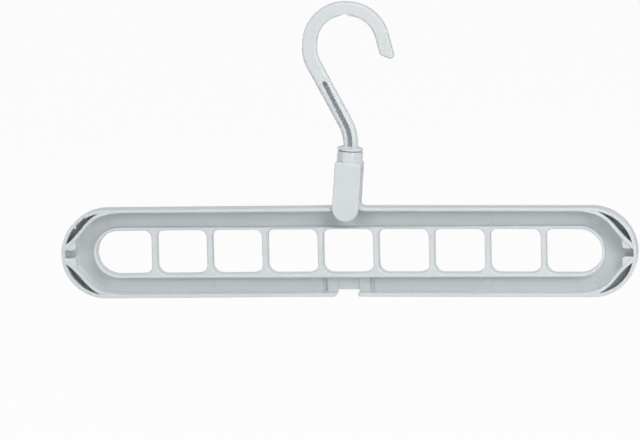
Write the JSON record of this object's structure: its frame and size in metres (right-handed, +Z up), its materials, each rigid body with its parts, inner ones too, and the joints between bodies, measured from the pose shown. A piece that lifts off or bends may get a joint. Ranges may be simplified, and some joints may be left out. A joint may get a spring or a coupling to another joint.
{
  "type": "clothes hanger",
  "caption": "Clothes hanger with a long tray-shaped bar pierced by a row of round-cornered holes, a yoke clipped over its top rim and a swivelling hook.",
  "frame": {"origin": "the rod seat: the apex of the small notch inside the top of the hook's crook, at the middle of the strip's thickness", "axes": "+X along the bar towards the hook's open side, +Y away from the bar's open face, +Z up as the hanger hangs"},
  "size_m": [0.36, 0.0168, 0.1838],
  "materials": {
    "bar_plastic": "satin light grey, moulded",
    "yoke_plastic": "satin light grey, moulded",
    "hook_plastic": "satin light grey, moulded"
  },
  "bodies": {
    "hook": {"swivel_hook": "hook_plastic"},
    "yoke": {"yoke_clip": "yoke_plastic"},
    "bar": {"hanger_bar": "bar_plastic"}
  },
  "joints": [
    {"name": "hook_swivel", "type": "hinge", "parent": "hook", "child": "yoke", "pos_m": [0.001, 0, -0.08526], "axis": [0.0845, 0, 0.9964], "continuous": true},
    {"name": "bar_rock", "type": "hinge", "parent": "yoke", "child": "bar", "pos_m": [-0.00198, 0, -0.12034], "axis": [0, 1, 0], "range_deg": [-0.15, 9.85]}
  ]
}
